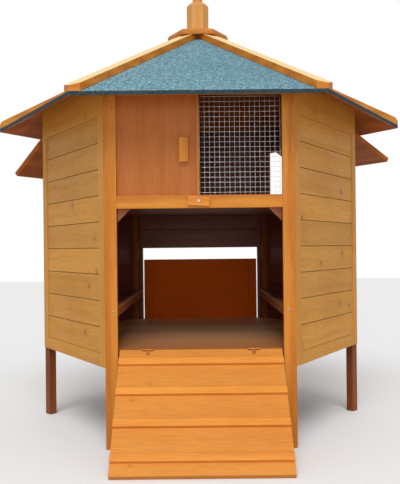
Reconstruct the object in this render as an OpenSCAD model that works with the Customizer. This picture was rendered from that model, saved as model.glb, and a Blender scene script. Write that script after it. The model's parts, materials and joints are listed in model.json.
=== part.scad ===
/* [Plan] */
// Side of the hexagonal plan, measured over the outer faces of the walls
side = 720; // [640:1:860]
// Thickness of the wall panels and of the front frame
panel_t = 20; // [16:1:26]
// Square section of the legs that stand inside the corners
post_w = 35; // [28:1:42]

/* [Wall panels] */
// Height of the underside of the wall panels above the ground
panel_z = 306; // [240:1:360]
// Width of the stiles and of the bottom rail of a wall panel
frame_w = 50; // [40:1:60]
// Height at which the wall boards end and the top rail starts
top_rail_z = 1260; // [1200:1:1340]
// Thickness of the wall boards
board_t = 12; // [8:1:14]
// Setback of the wall boards behind the frame face
board_inset = 4; // [2:1:6]

/* [Front frame] */
// Width of the two front stiles
stile_w = 48; // [40:1:56]
// Underside of the rail between the two front openings
mid_rail_z = 904; // [870:1:950]
// Height of that rail
mid_rail_h = 49; // [40:1:56]
// Underside of the top rail
front_top_z = 1332; // [1300:1:1350]

/* [Floors] */
// Top of the lower floor
floor_z = 374; // [340:1:400]
// Thickness of the lower floor
floor_t = 18; // [14:1:22]
// Thickness of the upper floor
upper_t = 15; // [10:1:18]
// Section of the bearers under the lower floor
bearer_w = 35; // [28:1:45]

/* [Ramp] */
// Length of the ramp board, which also closes the lower opening
ramp_l = 527; // [440:1:527]
// Thickness of the ramp board
ramp_t = 20; // [14:1:20]
// Gap on each side between the ramp and the front stiles
ramp_gap = 5; // [5:1:12]
// Width of a tread batten
tread_w = 30; // [20:1:36]
// Height of a tread batten
tread_t = 12; // [8:1:12]
// Number of tread battens
treads = 4; // [2:1:4]

/* [Upper front] */
// Thickness of the sliding panel
slide_t = 9; // [6:1:12]
// Width of the divider between the sliding panel and the mesh
divider_w = 10; // [8:1:16]
// Pitch of the welded mesh
mesh_pitch = 19.05; // [15:0.05:26]
// Wire diameter of the welded mesh
wire = 1.4; // [1:0.1:2]

/* [Hatches] */
// Lower edge of the hatch openings
hatch_sill_z = 1028; // [980:1:1060]
// Height of the hatch hinge axis
hatch_axis_z = 1290; // [1286:1:1300]
// Thickness of a hatch
hatch_t = 12; // [10:1:16]
// Resting angle of the left hatch from its closed position
hatch_left_open = 48; // [40:1:64]
// Resting angle of the right hatch from its closed position
hatch_right_open = 62; // [40:1:64]

/* [Rear opening] */
// Top of the low closing board at the rear
rear_board_z = 694; // [600:1:700]
// Top of the rear opening
rear_head_z = 756; // [720:1:800]

/* [Roof] */
// Distance by which a corner of the roof deck stands out past the wall corner
overhang = 194; // [160:1:220]
// Height of the underside of the eave
eave_z = 1296; // [1270:1:1300]
// Thickness of the roof deck, measured upright
deck_t = 11; // [8:1:16]
// Thickness of the roofing felt
felt_t = 3; // [2:0.5:5]
// Slope of the roof faces in degrees
roof_slope = 28.3; // [24:0.1:34]
// Width of a hip batten
hip_w = 73; // [60:1:90]
// Thickness of a hip batten over the ridge
hip_t = 19; // [8:1:24]
// Drop from the point of the felt to the level cut under the cap
cap_drop = 31.6; // [20:0.1:40]
// Distance from the centre to a corner of the cap
cap_r = 138; // [110:1:160]
// Thickness of the cap
cap_t = 24; // [18:1:36]
// Distance from the centre to a corner of the finial
finial_r = 50; // [36:1:60]
// Height of the finial
finial_h = 147; // [100:1:180]
// Height of the knob on top of the finial
knob_h = 28; // [20:1:45]

/* [Inside] */
// Section of the perches
perch_w = 36; // [28:1:40]
// Height of the perch undersides
perch_z = 498; // [470:1:560]
// Leg of the triangular knee braces
brace = 50; // [36:1:56]
// Thickness of the knee braces
brace_t = 20; // [14:1:24]

/* [Hidden] */

// Gap between pieces that seat on each other
seat = 0.3;
// Free running gap of the moving pieces
clear = 5;
apothem = side * cos(30);
inner_a = apothem - panel_t;
front_y = -apothem;
back_y = front_y + panel_t;
open_w = side - 2 * stile_w;
roof_r = side + overhang;
roof_rise = tan(roof_slope);
roof_a = roof_r * cos(30);
felt_r = roof_r + felt_t;
felt_top = eave_z + deck_t + felt_t;
cap_z = felt_top + felt_r * cos(30) * roof_rise - cap_drop;
wall_top = eave_z + (roof_a - apothem) * roof_rise - seat;
// The posts are let into the mitred corners, behind a thin skin of the panels
post_skin = 3;
post_r = side - post_skin - post_w / sqrt(2);
mid_top = mid_rail_z + mid_rail_h;
upper_z = mid_top - 10;
// Ramp hinge: its axis lies on the top face of the ramp
hinge_y = back_y;
hinge_z = floor_z - 2;
ramp_w = open_w - 2 * ramp_gap;
ramp_angle = asin(hinge_z / norm([ramp_l, ramp_t])) - atan2(ramp_t, ramp_l);
ramp_end_y = hinge_y - ramp_l * cos(ramp_angle);
tread_pitch = (ramp_l - 124) / 3;
ramp_hinge_x = open_w * 0.32;
// Knuckle and pin sizes of the ramp hinges and the hatch hinges
knuckle_r = 5;
pin_r = 2;
leaf_t = 2;
leaf_l = 26;
leaf_w = 42;
// Hatches
hatch_off = clear + 6;
hatch_w = side - 2 * frame_w + 8;
hatch_l = hatch_axis_z - hatch_sill_z + 4;
hatch_hinge_x = hatch_w * 0.35;
// Turn button
button = [79, 34, 15];
button_tilt = 4;
button_z = mid_rail_z + mid_rail_h * 0.53;
// Centre of the plan, set so that the origin lies under the middle of the whole
centre_y = -(felt_r * cos(30) + ramp_end_y) / 2;

wood_front = [0.80, 0.50, 0.20];
wood_side = [0.74, 0.52, 0.26];
wood_ramp = [0.88, 0.56, 0.26];
wood_dark = [0.55, 0.31, 0.18];
wood_inside = [0.60, 0.36, 0.20];
metal = [0.80, 0.80, 0.82];

module whole() translate([0, centre_y, 0]) children();

// Frame of side k, counted anticlockwise from the front: y = 0 is its outer face
module on_side(k) whole() rotate([0, 0, 60 * k]) translate([0, -apothem, 0]) children();

// Upright slab of one side with both ends mitred, from the outer face inwards
module mitred(from_y, to_y, z0, z1) {
    function half(y) = side / 2 - seat - y * tan(30);
    translate([0, 0, z0]) linear_extrude(z1 - z0)
        polygon([[-half(from_y), from_y], [half(from_y), from_y],
                 [half(to_y), to_y], [-half(to_y), to_y]]);
}

module block(x0, x1, y0, y1, z0, z1)
    translate([x0, y0, z0]) cube([x1 - x0, y1 - y0, z1 - z0]);

// Hexagonal prism with corners on the X axis and flat faces to front and rear
module hexagon(r, z0, z1) translate([0, 0, z0]) cylinder(r = r, h = z1 - z0, $fn = 6);

// Front frame ---------------------------------------------------------------
module front_stile(x_sign) color(wood_front) on_side(0) intersection() {
    mitred(0, panel_t, 0, wall_top);
    block(x_sign > 0 ? open_w / 2 : -side, x_sign > 0 ? side : -open_w / 2,
          -1, panel_t + 1, -1, wall_top + 1);
}
module front_stile_left() front_stile(-1);
module front_stile_right() front_stile(1);

module front_rail(z0, z1) color(wood_front) on_side(0)
    block(-open_w / 2, open_w / 2, 0, panel_t, z0, z1);
module front_mid_rail() front_rail(mid_rail_z, mid_top);
module front_top_rail() front_rail(front_top_z, wall_top);

module front_divider() color(wood_front) on_side(0)
    block(-divider_w, 0, panel_t - 8, panel_t, mid_top, front_top_z);

// Sheet behind the front frame, lapping the frame round the upper opening
lap = 9;
module behind_upper(x0, x1, depth) on_side(0)
    block(x0, x1, panel_t + seat, panel_t + seat + depth, mid_top - lap, front_top_z + lap);

module front_mesh() color(metal) on_side(0) {
    x0 = 1;
    x1 = open_w / 2 + lap;
    z0 = mid_top - lap;
    z1 = front_top_z + lap;
    columns = floor((x1 - x0 - wire) / mesh_pitch);
    rows = floor((z1 - z0 - wire) / mesh_pitch);
    translate([x0, panel_t + seat + wire, z0]) rotate([90, 0, 0]) linear_extrude(wire)
        difference() {
            square([columns * mesh_pitch + wire, rows * mesh_pitch + wire]);
            for (i = [0:columns - 1], j = [0:rows - 1])
                translate([i * mesh_pitch + wire, j * mesh_pitch + wire])
                    square(mesh_pitch - wire);
        }
}

module sliding_panel() color(wood_dark) behind_upper(-open_w / 2 - lap, 0, slide_t);

handle = [34, 18, 94];
module panel_handle() color(wood_front) on_side(0)
    translate([-58 - handle.x / 2, panel_t - handle.y, mid_top + 125])
        cube(handle);

module button_place() on_side(0) translate([-3, 0, button_z]) rotate([90, 0, 0]) children();

module button_screw() color(metal) button_place() {
    cylinder(r = 8, h = clear - seat, $fn = 40);
    cylinder(r = 2.5, h = clear + button.z + 1, $fn = 24);
    translate([0, 0, clear + button.z + seat]) cylinder(r = 6, h = 2.5, $fn = 40);
}

module turn_button() color(wood_ramp) button_place() rotate([0, 0, -button_tilt])
    translate([0, 0, clear]) difference() {
        translate([-button.x / 2, -button.y / 2, 0]) cube([button.x, button.y, button.z]);
        translate([0, 0, -1]) cylinder(r = 2.5 + seat, h = button.z + 2, $fn = 24);
    }

// Inside --------------------------------------------------------------------
module knee_braces() color(wood_inside) for (s = [-1, 1]) on_side(0)
    translate([0, panel_t + clear + 0.5 + brace_t, 0]) rotate([90, 0, 0])
        linear_extrude(brace_t)
            polygon([[s * open_w / 2, mid_rail_z - brace],
                     [s * open_w / 2, upper_z - upper_t - seat],
                     [s * (open_w / 2 - brace), upper_z - upper_t - seat],
                     [s * (open_w / 2 - brace), mid_rail_z]]);

// Square bar whose two top edges are rounded
module perch(x) color(wood_inside) whole() {
    y0 = -inner_a + seat;
    y1 = (post_r - post_w / sqrt(2)) * cos(30) - seat;
    edge = 8;
    translate([x, y1, perch_z]) rotate([90, 0, 0]) linear_extrude(y1 - y0) union() {
        translate([-perch_w / 2, 0]) square([perch_w, perch_w - edge]);
        translate([edge - perch_w / 2, 0]) square([perch_w - 2 * edge, perch_w]);
        for (s = [-1, 1]) translate([s * (perch_w / 2 - edge), perch_w - edge])
            circle(r = edge, $fn = 40);
    }
}
perch_x = (open_w + perch_w) / 2;
module perch_left() perch(-perch_x);
module perch_right() perch(perch_x);

// Floor plate inside the wall panels, notched round the posts
module floor_plate(z0, z1) difference() {
    hexagon((inner_a - seat) / cos(30), z0, z1);
    for (corner = [0, 60, 120, 180]) rotate([0, 0, corner]) post_section(z0 - 1, z1 + 1, seat);
}

module lower_floor() color(wood_inside) whole() difference() {
    floor_plate(floor_z - floor_t, floor_z);
    // Front edge, bevelled underneath to leave room for the ramp
    translate([-open_w / 2 - 2, 0, 0]) rotate([90, 0, 90]) linear_extrude(open_w + 4)
        polygon([[-side, floor_z + 1], [hinge_y + clear, floor_z + 1],
                 [hinge_y + clear, floor_z - 1],
                 [hinge_y + clear + ramp_t + 4, floor_z - ramp_t - 5],
                 [-side, floor_z - ramp_t - 5]]);
}

// Two bearers across the underside of the lower floor
module floor_bearers() color(wood_inside) whole() intersection() {
    hexagon((inner_a - seat) / cos(30), 0, floor_z);
    for (s = [-1, 1]) translate([-side, s * (inner_a - 70) - bearer_w / 2,
                                 floor_z - floor_t - bearer_w])
        cube([2 * side, bearer_w, bearer_w]);
}

module upper_floor() color(wood_inside) whole() floor_plate(upper_z - upper_t, upper_z);

// Post section at the +X corner, standing with one edge outwards
module post_section(z0, z1, grow)
    translate([post_r, 0, z0]) rotate([0, 0, 45])
        translate([-post_w / 2 - grow, -post_w / 2 - grow, 0])
            cube([post_w + 2 * grow, post_w + 2 * grow, z1 - z0]);
module post(corner) color(wood_dark) whole() rotate([0, 0, corner])
    post_section(0, wall_top, 0);
module post_right() post(0);
module post_rear_right() post(60);
module post_rear_left() post(120);
module post_left() post(180);

// Wall panels ---------------------------------------------------------------
// Frame of stiles, bottom rail and top rail round one opening
module wall_frame(k) color(wood_side) difference() {
    on_side(k) mitred(0, panel_t, panel_z, wall_top);
    on_side(k) block(frame_w - side / 2, side / 2 - frame_w, -1, panel_t + 1,
                     panel_z + frame_w, top_rail_z);
    whole() for (corner = [0, 60, 120, 180]) rotate([0, 0, corner])
        post_section(panel_z - 1, wall_top + 1, seat);
}
module wall_boards(k, z0, z1) color(wood_side) on_side(k)
    block(frame_w - side / 2, side / 2 - frame_w, board_inset, board_inset + board_t, z0, z1);

boards_z = panel_z + frame_w;
module wall_frame_front_right() wall_frame(1);
module wall_boards_front_right() wall_boards(1, boards_z, top_rail_z);
module wall_frame_front_left() wall_frame(5);
module wall_boards_front_left() wall_boards(5, boards_z, top_rail_z);
module wall_frame_rear_right() wall_frame(2);
module wall_boards_rear_right() wall_boards(2, boards_z, hatch_sill_z);
module wall_frame_rear_left() wall_frame(4);
module wall_boards_rear_left() wall_boards(4, boards_z, hatch_sill_z);
module wall_frame_rear() wall_frame(3);
module wall_boards_rear() wall_boards(3, rear_head_z, top_rail_z);

// Low board in the rear opening, with an upright batten near each end
rear_board_gap = 6;
end_batten_w = 44;
module rear_board() color(wood_dark) on_side(3) {
    half = side / 2 - frame_w - rear_board_gap;
    block(-half, half, board_inset, board_inset + board_t, boards_z, rear_board_z);
    for (s = [-1, 1]) translate([s * (half - end_batten_w / 2), 0, 0])
        block(-end_batten_w / 2, end_batten_w / 2, board_inset + board_t - 1,
              board_inset + 2 * board_t, boards_z + floor_t + seat, rear_board_z);
}

// Ramp ----------------------------------------------------------------------
// Ramp frame: the axis is X, the top face is z = 0 and the board runs towards -Y
module ramp_place() whole() translate([0, hinge_y, hinge_z]) rotate([ramp_angle, 0, 0])
    children();

module along_x(x0, x1, r) translate([x0, 0, 0]) rotate([0, 90, 0])
    cylinder(r = r, h = x1 - x0, $fn = 32);

module ramp_board() color(wood_ramp) ramp_place() difference() {
    block(-ramp_w / 2, ramp_w / 2, -ramp_l, 0, -ramp_t, 0);
    for (s = [-1, 1])
        along_x(s * ramp_hinge_x - leaf_w / 2 - 1, s * ramp_hinge_x + leaf_w / 2 + 1,
                knuckle_r + 2);
}

module ramp_treads() color(wood_ramp) ramp_place()
    for (i = [0:treads - 1]) translate([0, -46 - i * tread_pitch, 0])
        block(-ramp_w / 2, ramp_w / 2, -tread_w, 0, 0, tread_t);

// Middle knuckle and leaf of each hinge, on the ramp
module ramp_leaves() color(metal) for (s = [-1, 1]) ramp_place()
    translate([s * ramp_hinge_x, 0, 0]) difference() {
        union() {
            along_x(-leaf_w / 6, leaf_w / 6, knuckle_r);
            block(-leaf_w / 6, leaf_w / 6, -leaf_l, 0, 0, leaf_t);
        }
        along_x(-leaf_w / 2, leaf_w / 2, pin_r + seat);
    }

// Outer knuckles, pin and leaf of each hinge, on the floor
module floor_leaves() color(metal) for (s = [-1, 1]) whole()
    translate([s * ramp_hinge_x, hinge_y, hinge_z]) {
        along_x(-leaf_w / 2, leaf_w / 2, pin_r);
        for (e = [-1, 1]) translate([e * leaf_w / 3, 0, 0]) {
            along_x(seat - leaf_w / 6, leaf_w / 6 - seat, knuckle_r);
            block(seat - leaf_w / 6, leaf_w / 6 - seat, 0, leaf_l,
                  floor_z - hinge_z, floor_z - hinge_z + leaf_t);
        }
    }

// Hatches -------------------------------------------------------------------
// Hatch frame: the axis is X and the closed hatch hangs down with its face outwards
module hatch_place(k, open) on_side(k) translate([0, -hatch_off, hatch_axis_z])
    rotate([-open, 0, 0]) children();

// Board with a batten down each end of its outer face
module hatch_board(k, open) color(wood_side) hatch_place(k, open) {
    inner = hatch_off - clear;
    block(-hatch_w / 2, hatch_w / 2, inner - hatch_t, inner, -hatch_l, -7);
    for (s = [-1, 1]) translate([s * (hatch_w - 30) / 2, 0, 0])
        block(-15, 15, inner - hatch_t - 10, inner - hatch_t + 1, -hatch_l, -30);
}

hatch_face = hatch_off - clear - hatch_t;
module hatch_leaves(k, open) color(metal) hatch_place(k, open)
    for (s = [-1, 1]) translate([s * hatch_hinge_x, 0, 0]) difference() {
        union() {
            along_x(-leaf_w / 6, leaf_w / 6, knuckle_r);
            block(-leaf_w / 6, leaf_w / 6, hatch_face - leaf_t, 0, -leaf_t, leaf_t);
            block(-leaf_w / 6, leaf_w / 6, hatch_face - leaf_t, hatch_face, -leaf_l, leaf_t);
        }
        along_x(-leaf_w / 2, leaf_w / 2, pin_r + seat);
    }

module hatch_left_board() hatch_board(4, hatch_left_open);
module hatch_left_leaves() hatch_leaves(4, hatch_left_open);
module hatch_right_board() hatch_board(2, hatch_right_open);
module hatch_right_leaves() hatch_leaves(2, hatch_right_open);

// Pins, outer knuckles and wall leaves of both hatches
module hatch_pins() color(metal) for (k = [2, 4], s = [-1, 1]) on_side(k)
    translate([s * hatch_hinge_x, -hatch_off, hatch_axis_z]) {
        along_x(-leaf_w / 2, leaf_w / 2, pin_r);
        for (e = [-1, 1]) translate([e * leaf_w / 3, 0, 0]) {
            along_x(seat - leaf_w / 6, leaf_w / 6 - seat, knuckle_r);
            block(seat - leaf_w / 6, leaf_w / 6 - seat, 0, hatch_off, -leaf_t, leaf_t);
            block(seat - leaf_w / 6, leaf_w / 6 - seat, hatch_off - leaf_t, hatch_off,
                  -leaf_t, leaf_l);
        }
    }

// Roof ----------------------------------------------------------------------
// Solid hexagonal pyramid on a low upright edge
module pyramid(r, z0, edge) {
    hexagon(r, z0, z0 + edge);
    translate([0, 0, z0 + edge])
        cylinder(r1 = r, r2 = 0, h = r * cos(30) * roof_rise, $fn = 6);
}

// Deck: open below, cut off level under the cap
module roof_deck() color(wood_dark) whole() intersection() {
    difference() {
        pyramid(roof_r, eave_z, deck_t);
        translate([0, 0, eave_z]) cylinder(r1 = roof_r, r2 = 0,
                                            h = roof_a * roof_rise, $fn = 6);
    }
    hexagon(felt_r + 1, eave_z - 1, cap_z - seat);
}

// Felt on the deck, turned down over its edge
module roof_felt() color([0.45, 0.62, 0.66]) whole() intersection() {
    difference() {
        pyramid(felt_r, eave_z, deck_t + felt_t);
        translate([0, 0, -1]) hexagon(roof_r + seat, eave_z, eave_z + deck_t + 1);
        translate([0, 0, eave_z + deck_t + seat])
            cylinder(r1 = roof_r + seat, r2 = 0, h = (roof_r + seat) * cos(30) * roof_rise,
                     $fn = 6);
        hexagon(roof_r + seat, eave_z + deck_t - 1, eave_z + deck_t + seat);
    }
    hexagon(felt_r + 1, eave_z - 1, cap_z - seat);
}

hip_angle = atan(cos(30) * roof_rise);
// Fall of a roof face from the hip to the side of a hip batten
hip_fall = hip_w / 4 * roof_rise * cos(hip_angle);
// Battens over the six hips, cut level at the cap and parallel to both eaves
module hip_battens() color(wood_side) whole() for (corner = [0:60:300])
    rotate([0, 0, corner]) intersection() {
        translate([felt_r, 0, felt_top]) rotate([0, hip_angle, 0]) rotate([0, -90, 0])
            translate([0, 0, -40]) linear_extrude(felt_r / cos(hip_angle) + 40)
                polygon([[seat, 0], [seat - hip_fall, hip_w / 2], [hip_t, hip_w / 2],
                         [hip_t, -hip_w / 2], [seat - hip_fall, -hip_w / 2]]);
        hexagon(felt_r, eave_z, cap_z - seat);
        // Inner ends stop where neighbouring battens would meet
        translate([hip_w * 0.9, -side, eave_z]) cube([2 * side, 2 * side, side]);
    }

cap_bevel = 6;
module cap_plate() color(wood_side) whole() {
    hexagon(cap_r, cap_z, cap_z + cap_t / 2);
    translate([0, 0, cap_z + cap_t / 2])
        cylinder(r1 = cap_r, r2 = cap_r - cap_bevel, h = cap_t / 2, $fn = 6);
}

module finial() color(wood_ramp) whole() {
    // Low bevel round the flat top
    point_h = 14;
    top_r = finial_r * 0.74;
    knob_r = finial_r * 0.46;
    top_z = cap_z + cap_t + finial_h;
    hexagon(finial_r, cap_z + cap_t, top_z - point_h);
    hexagon(knob_r, top_z - point_h, top_z + knob_h);
    translate([0, 0, top_z - point_h])
        cylinder(r1 = finial_r, r2 = top_r, h = point_h, $fn = 6);
}

front_stile_left();
front_stile_right();
front_mid_rail();
front_top_rail();
front_divider();
front_mesh();
sliding_panel();
panel_handle();
button_screw();
turn_button();
knee_braces();
perch_left();
perch_right();
lower_floor();
floor_bearers();
upper_floor();
post_left();
post_right();
post_rear_left();
post_rear_right();
wall_frame_front_left();
wall_boards_front_left();
wall_frame_front_right();
wall_boards_front_right();
wall_frame_rear_left();
wall_boards_rear_left();
wall_frame_rear_right();
wall_boards_rear_right();
wall_frame_rear();
wall_boards_rear();
rear_board();
ramp_board();
ramp_treads();
ramp_leaves();
floor_leaves();
hatch_left_board();
hatch_left_leaves();
hatch_right_board();
hatch_right_leaves();
hatch_pins();
roof_deck();
roof_felt();
hip_battens();
cap_plate();
finial();
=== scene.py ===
import json
import math
import bmesh
import bpy
import numpy as np
from mathutils import Matrix, Vector


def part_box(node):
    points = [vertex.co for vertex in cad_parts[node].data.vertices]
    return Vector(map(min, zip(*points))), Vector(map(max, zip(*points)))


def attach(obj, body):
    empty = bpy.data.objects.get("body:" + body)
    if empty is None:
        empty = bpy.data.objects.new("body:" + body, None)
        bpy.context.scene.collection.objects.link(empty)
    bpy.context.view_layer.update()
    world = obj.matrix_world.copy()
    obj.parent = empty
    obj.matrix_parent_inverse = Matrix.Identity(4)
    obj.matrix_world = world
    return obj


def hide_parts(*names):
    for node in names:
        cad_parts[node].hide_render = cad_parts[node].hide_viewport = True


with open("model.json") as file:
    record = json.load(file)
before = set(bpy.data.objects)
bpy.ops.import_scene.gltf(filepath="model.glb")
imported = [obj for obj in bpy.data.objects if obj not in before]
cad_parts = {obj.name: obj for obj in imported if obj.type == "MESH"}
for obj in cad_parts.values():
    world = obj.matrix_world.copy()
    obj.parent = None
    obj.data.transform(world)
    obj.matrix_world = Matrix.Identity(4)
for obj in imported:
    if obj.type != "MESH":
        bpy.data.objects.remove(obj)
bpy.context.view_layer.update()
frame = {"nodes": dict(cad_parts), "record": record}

# ---------------------------------------------------------------- sizes taken from the frame
FELT_LO, FELT_HI = (np.array(v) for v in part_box("roof_felt"))
STILE_LO, STILE_HI = (np.array(v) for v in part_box("front_stile_right"))
FRAME_LO, FRAME_HI = (np.array(v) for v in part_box("wall_frame_rear"))
MESH_LO, MESH_HI = (np.array(v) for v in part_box("front_mesh"))
CENTRE_Y = (FELT_LO[1] + FELT_HI[1]) / 2
APOTHEM = CENTRE_Y - STILE_LO[1]
SIDE = APOTHEM / math.cos(math.radians(30))
PANEL_T = STILE_HI[1] - STILE_LO[1]
STILE_IN = STILE_LO[0]
FRAME_W = 0.050
BOARDS_Z = FRAME_LO[2] + FRAME_W
EAVE_Z = FELT_LO[2]
BOARD_PITCH = 0.1004
SIDES = {"front_right": 1, "rear_right": 2, "rear": 3, "rear_left": 4, "front_left": 5}


def from_side(k, points):
    """Point (x, y, z) of side k, x along the wall, y inwards from its outer face, turned by
    60 k degrees about the upright middle axis into the row frame."""
    p = np.asarray(points, dtype=float)
    turn = math.radians(60 * k)
    x, y = p[..., 0], p[..., 1] - APOTHEM
    return np.stack([x * math.cos(turn) - y * math.sin(turn),
                     x * math.sin(turn) + y * math.cos(turn) + CENTRE_Y, p[..., 2]], axis=-1)


# ---------------------------------------------------------------- making meshes
def new_piece(name, verts, faces, material, body, smooth=False):
    mesh = bpy.data.meshes.new(name)
    mesh.from_pydata(np.asarray(verts).tolist(), [], [list(map(int, f)) for f in faces])
    mesh.update()
    if smooth:
        mesh.polygons.foreach_set("use_smooth", np.ones(len(mesh.polygons), dtype=bool))
    piece = bpy.data.objects.new(name, mesh)
    bpy.context.scene.collection.objects.link(piece)
    mesh.materials.append(material)
    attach(piece, body)
    return piece


def grid_faces(rows, columns, start=0):
    """Quads of a grid that closes on itself along its columns."""
    r, c = np.meshgrid(np.arange(rows - 1), np.arange(columns), indexing="ij")
    n = (c + 1) % columns
    quads = np.stack([r * columns + c, r * columns + n, (r + 1) * columns + n,
                      (r + 1) * columns + c], axis=-1)
    return quads.reshape(-1, 4) + start


def outward(piece):
    """Turn the faces of a closed mesh outwards."""
    bm = bmesh.new()
    bm.from_mesh(piece.data)
    bmesh.ops.recalc_face_normals(bm, faces=bm.faces)
    bm.to_mesh(piece.data)
    bm.free()


def soften(node, material, width=0.0018, slot=None):
    """Copy of a framed piece with its edges eased by a small round."""
    mesh = frame["nodes"][node].data.copy()
    bm = bmesh.new()
    bm.from_mesh(mesh)
    bmesh.ops.remove_doubles(bm, verts=bm.verts, dist=1e-5)
    bmesh.ops.dissolve_limit(bm, angle_limit=math.radians(0.5), verts=bm.verts, edges=bm.edges)
    sharp = [e for e in bm.edges if len(e.link_faces) == 2
             and e.calc_face_angle(0) > math.radians(20)]
    bmesh.ops.bevel(bm, geom=sharp, offset=width, segments=2, profile=0.6, affect="EDGES",
                    clamp_overlap=True)
    bm.to_mesh(mesh)
    bm.free()
    piece = bpy.data.objects.new(node + "_finished", mesh)
    bpy.context.scene.collection.objects.link(piece)
    mesh.materials.clear()
    mesh.materials.append(material)
    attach(piece, BODIES[node])
    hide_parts(node)
    return piece


BODIES = {node: body for body, nodes in frame["record"]["behaviour"]["bodies"].items()
          for node in nodes}


# ---------------------------------------------------------------- making materials
class Maker:
    """Short hand for one material's node tree."""

    def __init__(self, name):
        self.material = bpy.data.materials.new(name)
        self.material.use_nodes = True
        self.tree = self.material.node_tree
        self.shader = self.tree.nodes["Principled BSDF"]

    def node(self, kind, *, out=0, settings=None, **inputs):
        item = self.tree.nodes.new(kind)
        for key, value in (settings or {}).items():
            setattr(item, key, value)
        for key, value in inputs.items():
            socket = item.inputs[int(key[1:])] if key[0] == "i" and key[1:].isdigit() \
                else item.inputs[key.replace("_", " ")]
            if isinstance(value, bpy.types.NodeSocket):
                self.tree.links.new(value, socket)
            else:
                socket.default_value = value
        return item.outputs[out]

    def math(self, operation, a, b=0.0, c=0.0, clamp=False):
        return self.node("ShaderNodeMath", settings={"operation": operation, "use_clamp": clamp},
                         i0=a, i1=b, i2=c)

    def ramp(self, value, low, high, to_low=0.0, to_high=1.0):
        return self.node("ShaderNodeMapRange", settings={"interpolation_type": "SMOOTHSTEP"},
                         Value=value, From_Min=low, From_Max=high, To_Min=to_low, To_Max=to_high)

    def mix(self, factor, a, b, blend="MIX"):
        return self.node("ShaderNodeMix", out=2,
                         settings={"data_type": "RGBA", "blend_type": blend},
                         i0=factor, i6=a, i7=b)

    def noise(self, vector, scale, detail=4.0, rough=0.55, distortion=0.0):
        return self.node("ShaderNodeTexNoise", Vector=vector, Scale=scale, Detail=detail,
                         Roughness=rough, Distortion=distortion)

    def link(self, value, socket):
        self.tree.links.new(value, self.shader.inputs[socket])

    def bump(self, height, strength, distance):
        self.link(self.node("ShaderNodeBump", Strength=strength, Distance=distance,
                            Height=height), "Normal")


def rgb(r, g, b):
    """Colour written as screen values from 0 to 255, made linear."""
    c = np.array([r, g, b]) / 255
    c = np.where(c <= 0.04045, c / 12.92, ((c + 0.055) / 1.055) ** 2.4)
    return (*c.tolist(), 1.0)


def side_vector(m, k):
    """Object coordinates turned and moved into the frame of side k, with y = 0 at the middle."""
    turn = Matrix.Rotation(math.radians(-60 * k), 3, "Z")
    shift = -(turn @ Vector((0, CENTRE_Y, 0)))
    coords = m.node("ShaderNodeTexCoord", out=3)
    return m.node("ShaderNodeMapping", Vector=coords, Location=shift,
                  Rotation=(0, 0, math.radians(-60 * k)))


def split(m, vector):
    item = m.tree.nodes.new("ShaderNodeSeparateXYZ")
    m.tree.links.new(vector, item.inputs[0])
    return item.outputs


def grain(m, x, y, z, along, shift):
    """Fibre streaks, growth bands and knots of timber whose fibres run along one axis.
    The across axes are stretched, so noise turns into long streaks. Knots are round spots in
    some cells of a flat pattern laid over the fibre axis and the sum of the other two."""
    x, y, z = (m.math("ADD", value, shift) for value in (x, y, z))
    stretch = {"x": (1.0, 16.0, 16.0), "y": (16.0, 1.0, 16.0), "z": (16.0, 16.0, 1.0)}[along]
    point = m.node("ShaderNodeCombineXYZ", X=x, Y=y, Z=z)
    long = m.node("ShaderNodeMapping", Vector=point, Scale=stretch)
    streak = m.noise(long, 1.9, 5.0, 0.55, 0.6)
    fibre = m.noise(long, 15.0, 4.0, 0.6)
    bands = m.node("ShaderNodeTexWave", out=1,
                   settings={"bands_direction": {"x": "Z", "y": "X", "z": "X"}[along]},
                   Vector=long, Scale=0.3, Distortion=7.0, Detail=2.0, Detail_Scale=0.3)
    run, across = {"x": (x, m.math("ADD", y, z)), "y": (y, m.math("ADD", x, z)),
                   "z": (z, m.math("ADD", x, y))}[along]
    cells = m.tree.nodes.new("ShaderNodeTexVoronoi")
    cells.voronoi_dimensions = "2D"
    cells.inputs["Scale"].default_value = 4.6
    m.tree.links.new(m.node("ShaderNodeCombineXYZ", X=run, Y=across, Z=0.0),
                     cells.inputs["Vector"])
    chosen = m.math("GREATER_THAN", split(m, cells.outputs["Color"])[0], 0.52)
    knots = m.math("SUBTRACT", 1.0, m.math("MULTIPLY", chosen, m.math(
        "SUBTRACT", 1.0, cells.outputs["Distance"])))
    return streak, fibre, bands, knots


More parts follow.
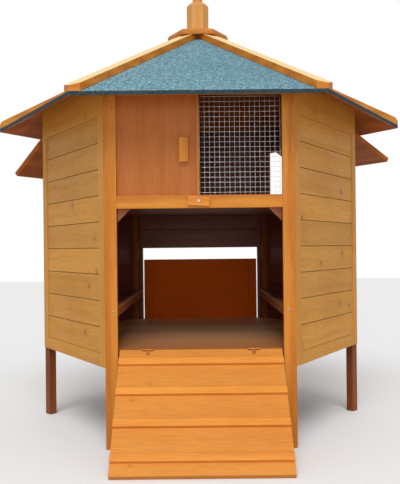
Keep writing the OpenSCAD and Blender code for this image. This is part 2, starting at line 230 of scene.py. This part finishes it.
def wood(name, light, dark, along="x", k=0, boards=None, knots=0.7, rough=0.5, frame_of=False,
         contrast=1.0, inside=None, top=None, gloss=0.22, front_shade=None, under_shade=None):
    """Stained pine. boards = (axis, start, pitch) shifts the figure from board to board and
    draws the joints; frame_of gives upright fibres to the stiles of a wall frame; inside is
    the painted shade tone of the faces turned to the room, top the painted sky highlight of the
    faces turned up, the last argument the painted shade of the faces turned down, and the
    argument before it a painted shade that darkens the timber towards the front."""
    m = Maker(name)
    seed = (sum(map(ord, name)) % 97) * 0.37
    x, y, z = split(m, side_vector(m, k))
    offset = None
    if boards:
        axis, start, pitch = boards
        value = {"x": x, "y": y, "z": z}[axis]
        place = m.math("DIVIDE", m.math("SUBTRACT", value, start), pitch)
        number = m.math("FLOOR", place)
        offset = m.node("ShaderNodeTexWhiteNoise", settings={"noise_dimensions": "1D"},
                        W=m.math("ADD", number, seed))
    if frame_of:
        stile = m.math("GREATER_THAN", m.math("ABSOLUTE", x), SIDE / 2 - FRAME_W)
        flat = grain(m, x, y, z, "x", seed)
        tall = grain(m, x, y, z, "z", seed)
        parts = [m.node("ShaderNodeMix", settings={"data_type": "FLOAT"}, i0=stile, i2=a, i3=b)
                 for a, b in zip(flat, tall)]
        streak, fibre, bands, spot = parts
    else:
        shifted = m.node("ShaderNodeMath", settings={"operation": "MULTIPLY_ADD"},
                         i0=offset, i1=9.0, i2=seed) if offset else seed
        streak, fibre, bands, spot = grain(m, x, y, z, along, shifted)
    figure = m.math("ADD", m.math("MULTIPLY", streak, 0.75 * contrast),
                    m.math("MULTIPLY", bands, 0.28 * contrast))
    tone = m.mix(m.ramp(figure, 0.22, 0.85), light, dark)
    blotch = m.noise(side_vector(m, k), 3.1, 2.0)
    tone = m.mix(m.ramp(blotch, 0.35, 0.75, 0.0, 0.35), tone, dark)
    fine = m.ramp(fibre, 0.3, 0.7, 0.90, 1.07)
    tone = m.mix(1.0, tone, m.node("ShaderNodeCombineColor", Red=fine, Green=fine, Blue=fine),
                 "MULTIPLY")
    if offset:
        vary = m.ramp(offset, 0.0, 1.0, 0.90, 1.08)
        tone = m.mix(1.0, tone, m.node("ShaderNodeCombineColor", Red=vary, Green=vary,
                                       Blue=vary), "MULTIPLY")
    if knots:
        heart = m.ramp(spot, 0.015, 0.055, knots, 0.0)
        halo = m.ramp(spot, 0.04, 0.17, knots * 0.6, 0.0)
        brown = tuple(c * 0.35 for c in dark[:3]) + (1.0,)
        tone = m.mix(halo, tone, dark)
        tone = m.mix(heart, tone, brown)
    height = m.math("ADD", m.math("MULTIPLY", fibre, 0.6), m.math("MULTIPLY", streak, 0.6))
    if boards:
        edge = m.math("ABSOLUTE", m.math("SUBTRACT", m.math("FRACT", place), 0.5))
        joint = m.ramp(edge, 0.5 - 0.0022 / pitch, 0.5 - 0.0008 / pitch)
        tone = m.mix(m.math("MULTIPLY", joint, 0.65), tone, tuple(c * 0.18 for c in dark[:3])
                     + (1.0,))
        height = m.math("SUBTRACT", height, m.math("MULTIPLY", joint, 3.0))
    # Painted shade: faces turned to the room are mixed to the darker room tone.
    if inside:
        turned = m.ramp(y, 0.006 - APOTHEM, 0.008 - APOTHEM)
        tone = m.mix(turned, tone, m.mix(m.ramp(figure, 0.2, 0.9), inside,
                                         tuple(c * 0.7 for c in inside[:3]) + (1.0,)))
    # Painted shade: the timber is darkened towards the front, brightest at the back.
    if front_shade:
        near = m.ramp(y, -APOTHEM, APOTHEM * 0.6, 1.0, 0.0)
        tone = m.mix(near, tone, front_shade)
    if top or under_shade:
        up = split(m, m.node("ShaderNodeTexCoord", out=1))[2]
    # Painted sky highlight: faces turned up are mixed to the pale top tone.
    if top:
        tone = m.mix(m.ramp(up, 0.75, 0.88, 0.0, 0.85), tone, top)
    # Painted shade: faces turned down are mixed to the darker tone.
    if under_shade:
        tone = m.mix(m.ramp(up, -0.9, -0.8, 0.85, 0.0), tone, under_shade)
    m.link(tone, "Base Color")
    m.link(m.ramp(streak, 0.2, 0.8, rough - 0.06, rough + 0.10), "Roughness")
    m.shader.inputs["Specular IOR Level"].default_value = gloss
    m.bump(height, 0.3, 0.0005)
    return m.material


def felt_material():
    """Mineral felt: pale and dark granules over blue-grey, darker on the turned-down edge."""
    m = Maker("mineral_felt")
    coords = m.node("ShaderNodeTexCoord", out=3)
    grit = m.node("ShaderNodeTexVoronoi", out=1, Vector=coords, Scale=300.0)
    level = split(m, grit)[0]
    cloud = m.noise(coords, 60.0, 5.0, 0.7)
    speck = m.math("ADD", m.math("MULTIPLY", level, 0.62), m.math("MULTIPLY", cloud, 0.5))
    tone = m.mix(m.ramp(speck, 0.28, 0.66), rgb(58, 96, 112), rgb(116, 160, 174))
    tone = m.mix(m.ramp(speck, 0.70, 0.96), tone, rgb(208, 228, 232))
    patch = m.noise(coords, 2.3, 3.0)
    tone = m.mix(m.ramp(patch, 0.4, 0.75, 0.0, 0.4), tone, rgb(84, 122, 140))
    z = split(m, coords)[2]
    turned = m.ramp(z, EAVE_Z + 0.0135, EAVE_Z + 0.0155, 1.0, 0.0)
    tone = m.mix(m.math("MULTIPLY", turned, 0.9), tone, rgb(30, 40, 42))
    m.link(tone, "Base Color")
    m.shader.inputs["Roughness"].default_value = 0.85
    m.shader.inputs["Specular IOR Level"].default_value = 0.25
    m.bump(m.math("ADD", level, cloud), 0.5, 0.0008)
    return m.material


def metal_material(name, colour, rough):
    m = Maker(name)
    coords = m.node("ShaderNodeTexCoord", out=3)
    patina = m.noise(coords, 45.0, 4.0)
    m.link(m.mix(m.ramp(patina, 0.35, 0.7), colour, tuple(c * 0.72 for c in colour[:3])
                 + (1.0,)), "Base Color")
    m.link(m.ramp(patina, 0.3, 0.7, rough - 0.06, rough + 0.10), "Roughness")
    m.shader.inputs["Metallic"].default_value = 0.75
    return m.material


HONEY = (rgb(212, 138, 46), rgb(184, 104, 28))
TAN = (rgb(212, 148, 52), rgb(184, 116, 32))
BRIGHT = (rgb(230, 150, 62), rgb(212, 128, 44))
PLY = (rgb(182, 104, 38), rgb(164, 88, 30))
LEG = (rgb(146, 80, 36), rgb(118, 60, 26))
# Darker tone of the perches inside the upper room: painted shade of the interior.
INSIDE_SHADE = (rgb(168, 100, 58), rgb(132, 72, 40))
FLOOR = (rgb(255, 214, 160), rgb(240, 186, 126))
DEEP = (rgb(190, 82, 2), rgb(168, 64, 0))
SOFFIT = (rgb(190, 104, 28), rgb(154, 76, 16))
# Painted shade of the room: inner wall faces and the floor's underside.
ROOM_SHADE = rgb(112, 58, 40)
# Painted sky highlight for the upward faces of the hip battens and cap plate.
SKY_HIGHLIGHT = rgb(250, 222, 158)
RAMP = (rgb(214, 138, 56), rgb(196, 116, 40))
# Painted shade of the floor towards the front doorway.
FLOOR_FRONT_SHADE = rgb(178, 112, 62)
PALE = (rgb(224, 162, 88), rgb(200, 136, 68))

felt = felt_material()
zinc = metal_material("zinc_plate", rgb(150, 148, 140), 0.45)
bronze = metal_material("bronzed_hinge", rgb(176, 112, 50), 0.5)
wire_metal = metal_material("galvanised_wire", rgb(225, 228, 230), 0.35)


# ---------------------------------------------------------------- walls
def board_profile(z0, z1, face, back, pitch, groove=0.003, depth=0.0022):
    """Outline in (y, z): a straight face and back, each with a V of the given width and depth
    at every whole pitch between z0 and z1."""
    joints = np.arange(z0 + pitch, z1 - 0.01, pitch)
    steps = np.array([-groove / 2, 0, groove / 2])
    z = (joints[:, None] + steps).ravel()
    up = np.stack([face + np.tile([0, depth, 0], len(joints)), z], axis=1)
    down = np.stack([back - np.tile([0, depth, 0], len(joints)), z], axis=1)[::-1]
    return np.vstack([[[face, z0]], up, [[face, z1], [back, z1]], down, [[back, z0]]])


def carried_along_x(name, k, profile, x0, x1, material, body):
    """Closed outline in (y, z) carried along x from x0 to x1 on side k, with both ends closed."""
    n = len(profile)
    ends = [np.column_stack([np.full(n, x), profile]) for x in (x0, x1)]
    verts = from_side(k, np.vstack(ends))
    faces = grid_faces(2, n).tolist() + [list(range(n)), list(range(n, 2 * n))[::-1]]
    piece = new_piece(name, verts, faces, material, body)
    outward(piece)
    return piece


def side_walls():
    """Frame and grooved boards of the five closed sides."""
    for name, k in SIDES.items():
        # Wall frames and boards get painted room shade on their inner faces.
        soften("wall_frame_" + name, wood("frame_%s" % name, *TAN, k=k, frame_of=True,
                                           knots=0.3, contrast=0.6, inside=ROOM_SHADE))
        node = "wall_boards_" + name
        lo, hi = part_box(node)
        start = BOARDS_Z if k != 3 else lo[2]
        timber = wood("boards_%s" % name, *TAN, k=k, boards=("z", start, BOARD_PITCH),
                      contrast=0.6, inside=ROOM_SHADE)
        piece = carried_along_x(node + "_grooved", k,
                                board_profile(lo[2], hi[2], 0.004, 0.016, BOARD_PITCH),
                                FRAME_W - SIDE / 2, SIDE / 2 - FRAME_W, timber, "coop")
        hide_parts(node)


# ---------------------------------------------------------------- front
def tubes(paths, radius, sides):
    """Round wires: around every point of each path stands a ring of the given radius, square
    to the path's run. paths has the shape (wires, points, 3)."""
    run = np.gradient(paths, axis=1)
    run /= np.linalg.norm(run, axis=2, keepdims=True)
    across = np.cross(run, np.array([0.0, 1.0, 0.0]))
    across /= np.linalg.norm(across, axis=2, keepdims=True)
    other = np.cross(run, across)
    angle = np.arange(sides) * 2 * math.pi / sides
    rings = (paths[:, :, None] + radius * (np.cos(angle)[:, None] * across[:, :, None]
                                           + np.sin(angle)[:, None] * other[:, :, None]))
    wires, points = paths.shape[:2]
    body = np.concatenate([grid_faces(points, sides, w * points * sides) for w in range(wires)])
    caps = [[w * points * sides + e * (points - 1) * sides + s for s in range(sides)][::1 - 2 * e]
            for w in range(wires) for e in (0, 1)]
    return rings.reshape(-1, 3), body.tolist() + caps


def mesh_window():
    """Welded wire mesh: upright wires in front, level wires behind, each a little wavy."""
    pitch = 0.01905
    wire = 0.0007
    columns = int((MESH_HI[0] - MESH_LO[0]) / pitch + 0.01)
    rows = int((MESH_HI[2] - MESH_LO[2]) / pitch + 0.01)
    t = np.linspace(0, 1, 25)
    x = MESH_LO[0] + wire + np.arange(columns + 1) * pitch
    z = MESH_LO[2] + wire + np.arange(rows + 1) * pitch
    y = (MESH_LO[1] + MESH_HI[1]) / 2
    top = z[-1]
    right = x[-1]
    upright = np.zeros((len(x), len(t), 3))
    upright[..., 0] = x[:, None] + 0.0003 * np.sin(7 * t + x[:, None] * 90)
    upright[..., 1] = y - wire * 0.2
    upright[..., 2] = z[0] + t * (top - z[0])
    level = np.zeros((len(z), len(t), 3))
    level[..., 0] = x[0] + t * (right - x[0])
    level[..., 1] = y + wire * 0.2
    level[..., 2] = z[:, None] + 0.0003 * np.sin(6 * t + z[:, None] * 70)
    verts_a, faces_a = tubes(upright, wire * 0.75, 6)
    verts_b, faces_b = tubes(level, wire * 0.75, 6)
    shifted = [[i + len(verts_a) for i in f] for f in faces_b]
    piece = new_piece("welded_mesh", np.vstack([verts_a, verts_b]), faces_a + shifted, wire_metal,
                      "coop", smooth=True)
    outward(piece)
    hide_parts("front_mesh")


def screw_head(name, centre, normal, radius, body, material=None):
    """Dome turned about its axis: the height falls from the middle to the rim as a quarter of
    an ellipse, with a flat back."""
    rings, around = 6, 20
    t = np.linspace(0, 1, rings)
    r = radius * np.sin(t * math.pi / 2)
    h = radius * 0.35 * np.cos(t * math.pi / 2)
    angle = np.arange(around) * 2 * math.pi / around
    local = np.stack([np.outer(r, np.cos(angle)), np.outer(r, np.sin(angle)),
                      np.repeat(h[:, None], around, 1)], axis=-1)[1:].reshape(-1, 3)
    local = np.vstack([local, [[0, 0, h[0]]]])
    turn = Vector((0, 0, 1)).rotation_difference(Vector(normal)).to_matrix()
    verts = local @ np.array(turn).T + np.array(centre)
    tip = len(local) - 1
    faces = grid_faces(rings - 1, around).tolist()
    faces += [[(i + 1) % around, i, tip] for i in range(around)]
    faces.append([(rings - 2) * around + i for i in range(around)])
    piece = new_piece(name, verts, faces, material or zinc, body, smooth=True)
    outward(piece)
    return piece


def front():
    upright = wood("front_upright", *HONEY, along="z", knots=0.25)
    level = wood("front_level", *HONEY, along="x", knots=0.25)
    for node in ("front_stile_left", "front_stile_right", "front_divider"):
        soften(node, upright)
    for node in ("front_mid_rail", "front_top_rail"):
        soften(node, level)
    soften("sliding_panel", wood("panel_ply_face", *PLY, along="z", knots=0.0, contrast=0.6,
                                 rough=0.45), 0.001)
    soften("panel_handle", wood("handle_wood", *HONEY, along="z", knots=0.0), 0.0025)
    soften("turn_button", wood("button_wood", *BRIGHT, along="x", knots=0.0), 0.0025)
    mesh_window()
    perch_x = (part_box("perch_right")[0][0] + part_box("perch_right")[1][0]) / 2
    perch_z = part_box("perch_right")[1][2] - 0.015
    for side, sign in (("left", -1), ("right", 1)):
        screw_head("perch_screw_" + side, (sign * perch_x, STILE_LO[1], perch_z), (0, -1, 0),
                   0.0042, "coop")


# ---------------------------------------------------------------- inside, legs and ramp
def inside():
    # Perches take the darker inside tone: painted shade.
    bar = wood("perch_wood", *INSIDE_SHADE, along="y", knots=0.2)
    for node in ("perch_left", "perch_right", "knee_braces"):
        soften(node, bar)
    # Floor: painted shade towards the front and on the faces turned down.
    floor = wood("floor_wood", *FLOOR, along="x", boards=("y", 0.0, 0.092), knots=0.5,
                 front_shade=FLOOR_FRONT_SHADE, under_shade=ROOM_SHADE)
    for node in ("lower_floor", "upper_floor", "floor_bearers"):
        soften(node, floor, 0.001)
    soften("rear_board", wood("rear_board_wood", *DEEP, along="x", knots=0.0, contrast=0.5,
                              gloss=0.03), 0.0015)
    leg = wood("leg_wood", *LEG, along="z", knots=0.25)
    for node in ("post_left", "post_right", "post_rear_left", "post_rear_right"):
        soften(node, leg)


def ramp():
    board = wood("ramp_wood", *RAMP, along="x", knots=0.3, contrast=0.6)
    soften("ramp_board", board)
    soften("ramp_treads", wood("tread_wood", *BRIGHT, along="x", knots=0.1), 0.0025)


def hatches():
    for side, k in (("left", 4), ("right", 2)):
        soften("hatch_%s_board" % side, wood("hatch_%s_wood" % side, *SOFFIT, along="x", k=k))


# ---------------------------------------------------------------- roof
def roof():
    soften("roof_deck", wood("soffit_wood", *SOFFIT, along="x", knots=0.2), 0.001)
    soften("roof_felt", felt, 0.0015)
    # Battens and cap plate: painted sky highlight on their upward faces.
    soften("hip_battens", wood("batten_wood", *HONEY, along="x", knots=0.2, top=SKY_HIGHLIGHT), 0.002)
    soften("cap_plate", wood("cap_wood", *HONEY, along="x", knots=0.2, top=SKY_HIGHLIGHT), 0.0008)
    soften("finial", wood("finial_wood", *PALE, along="z", knots=0.2), 0.002)


def fittings():
    for node in ("button_screw", "ramp_leaves", "floor_leaves", "hatch_left_leaves",
                 "hatch_right_leaves", "hatch_pins"):
        item = frame["nodes"][node]
        item.material_slots[0].material = zinc if node == "button_screw" else bronze
    corner = from_side(1, [SIDE / 2 - 0.014, 0.0, EAVE_Z - 0.056])
    normal = from_side(1, [0, -1, 0]) - from_side(1, [0, 0, 0])
    screw_head("corner_screw", corner, normal, 0.0045, "coop")


# ---------------------------------------------------------------- stage, light and camera
def stage_and_light():
    m = Maker("pale_floor")
    path = m.tree.nodes.new("ShaderNodeLightPath")
    seen = m.math("MAXIMUM", path.outputs["Is Camera Ray"], path.outputs["Is Glossy Ray"])
    m.link(m.mix(seen, (0.55, 0.55, 0.55, 1), (0.92, 0.92, 0.92, 1)), "Base Color")
    m.shader.inputs["Roughness"].default_value = 0.9
    half = 14.0
    mesh = bpy.data.meshes.new("ground")
    mesh.from_pydata([(-half, -half, 0), (half, -half, 0), (half, half, 0), (-half, half, 0)], [],
                     [(0, 1, 2, 3)])
    mesh.materials.append(m.material)
    ground = bpy.data.objects.new("ground", mesh)
    bpy.context.scene.collection.objects.link(ground)

    world = bpy.data.worlds.new("sky")
    bpy.context.scene.world = world
    world.use_nodes = True
    tree = world.node_tree
    tree.nodes.clear()
    out = tree.nodes.new("ShaderNodeOutputWorld")
    back = tree.nodes.new("ShaderNodeBackground")
    path = tree.nodes.new("ShaderNodeLightPath")
    most = tree.nodes.new("ShaderNodeMath")
    most.operation = "MAXIMUM"
    tree.links.new(path.outputs["Is Camera Ray"], most.inputs[0])
    tree.links.new(path.outputs["Is Glossy Ray"], most.inputs[1])
    level = tree.nodes.new("ShaderNodeMapRange")
    level.inputs["To Min"].default_value = 0.46
    level.inputs["To Max"].default_value = 1.0
    tree.links.new(most.outputs[0], level.inputs["Value"])
    tree.links.new(level.outputs[0], back.inputs["Strength"])
    back.inputs["Color"].default_value = (1, 1, 1, 1)
    tree.links.new(back.outputs[0], out.inputs[0])

    sun = bpy.data.lights.new("soft_sun", "SUN")
    sun.energy = 1.75
    sun.angle = math.radians(35)
    lamp = bpy.data.objects.new("soft_sun", sun)
    lamp.rotation_euler = (math.radians(40), 0, math.radians(-4))
    bpy.context.scene.collection.objects.link(lamp)

    fill = bpy.data.lights.new("front_fill", "AREA")
    fill.energy = 48
    fill.size = 1.6
    lamp = bpy.data.objects.new("front_fill", fill)
    lamp.matrix_world = Matrix.Translation((0, -5.0, 1.1)) @ Matrix.Rotation(math.radians(84), 4, "X")
    bpy.context.scene.collection.objects.link(lamp)


def camera():
    """Camera 2.74 m in front of the coop, level, with a slight roll."""
    data = bpy.data.cameras.new("camera")
    data.lens = 54.27
    data.sensor_width = 36
    data.shift_y = 0.0124
    item = bpy.data.objects.new("camera", data)
    bpy.context.scene.collection.objects.link(item)
    level = Matrix.Rotation(math.radians(90), 4, "X") @ Matrix.Rotation(math.radians(-0.6), 4, "Z")
    item.matrix_world = Matrix.Translation((0, STILE_LO[1] - 2.736, 0.754)) @ level
    bpy.context.scene.camera = item


camera()
side_walls()
front()
inside()
ramp()
hatches()
roof()
fittings()
stage_and_light()
bpy.context.scene.view_settings.view_transform = "Standard"
